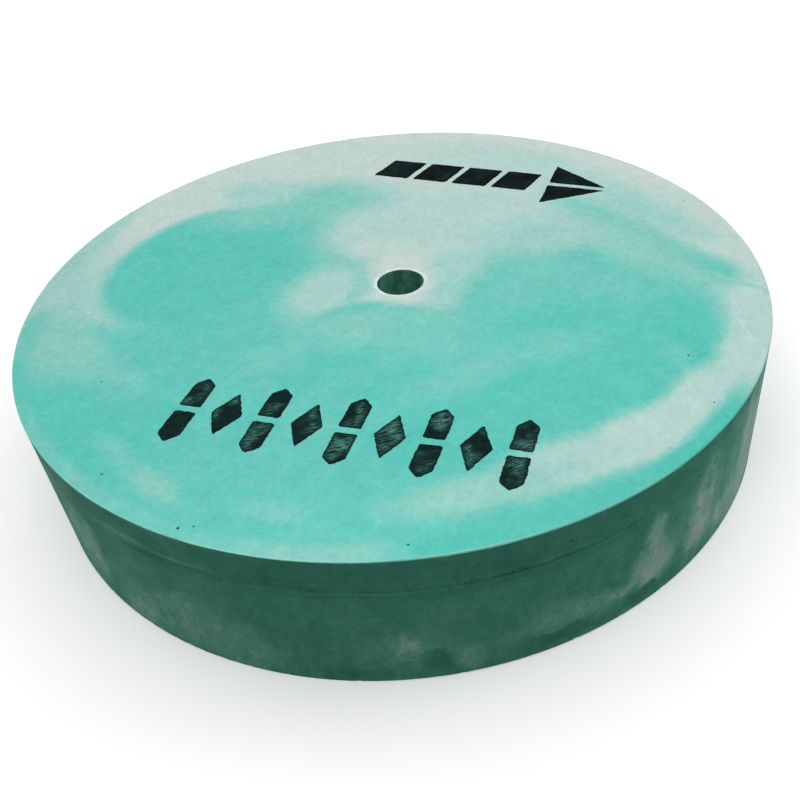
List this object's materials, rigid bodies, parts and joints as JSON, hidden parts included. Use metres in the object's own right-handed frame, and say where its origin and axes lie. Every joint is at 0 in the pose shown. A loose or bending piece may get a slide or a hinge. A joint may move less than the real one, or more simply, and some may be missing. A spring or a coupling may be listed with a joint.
{
  "type": "grinding wheel",
  "caption": "Thick flat grinding wheel of cast teal-green abrasive with a plain spindle bore, a faint mould line round the rim and stencilled marks on one face.",
  "frame": {"origin": "centre of the bore at the lower face, which the wheel lies on", "axes": "+Z along the bore axis, from the lower face to the marked upper face; +X along the two stencilled marks; +Y from the bar row towards the arrow"},
  "size_m": [0.2, 0.2, 0.04],
  "materials": {
    "cast_abrasive": "matte, fine grained, with pale chalky clouds",
    "stencil_paint": "matte black paint, solid",
    "thin_stencil_paint": "matte black paint, thin and streaky"
  },
  "bodies": {
    "root": {"abrasive_body": "cast_abrasive", "arrow_mark": "stencil_paint", "bar_row_mark": "thin_stencil_paint"}
  },
  "joints": []
}
